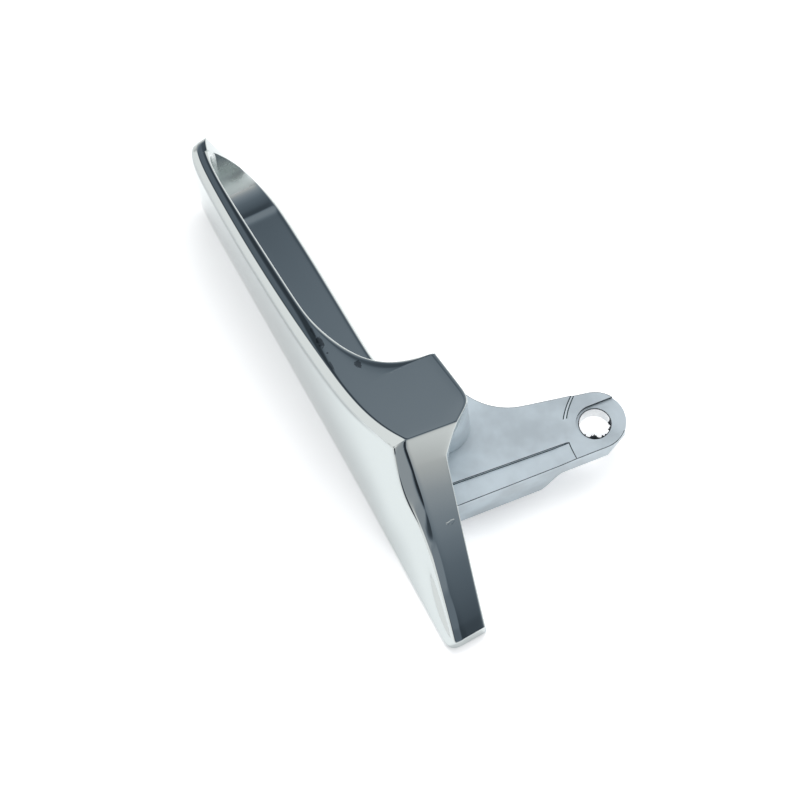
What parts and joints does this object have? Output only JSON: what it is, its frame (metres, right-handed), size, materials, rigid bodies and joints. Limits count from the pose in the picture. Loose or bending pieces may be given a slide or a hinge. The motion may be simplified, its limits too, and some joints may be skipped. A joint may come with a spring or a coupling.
{
  "type": "interior door release lever",
  "caption": "Interior door release lever: a hooked finger grip with a scoop behind it, a solid root block, a falling tail and a flat pivot arm with one bore.",
  "frame": {"origin": "on the axis of the pivot bore, midway along its wall", "axes": "+X runs along the lever from the grip's tip to the tail, +Y from the front face to the pivot arm, +Z along the pivot axis, away from the side that the lever lies on"},
  "size_m": [0.1232, 0.0599, 0.026],
  "materials": {
    "chromed_casting": "polished chrome plating, satin on the pivot arm"
  },
  "bodies": {
    "root": {"lever": "chromed_casting"}
  },
  "joints": []
}
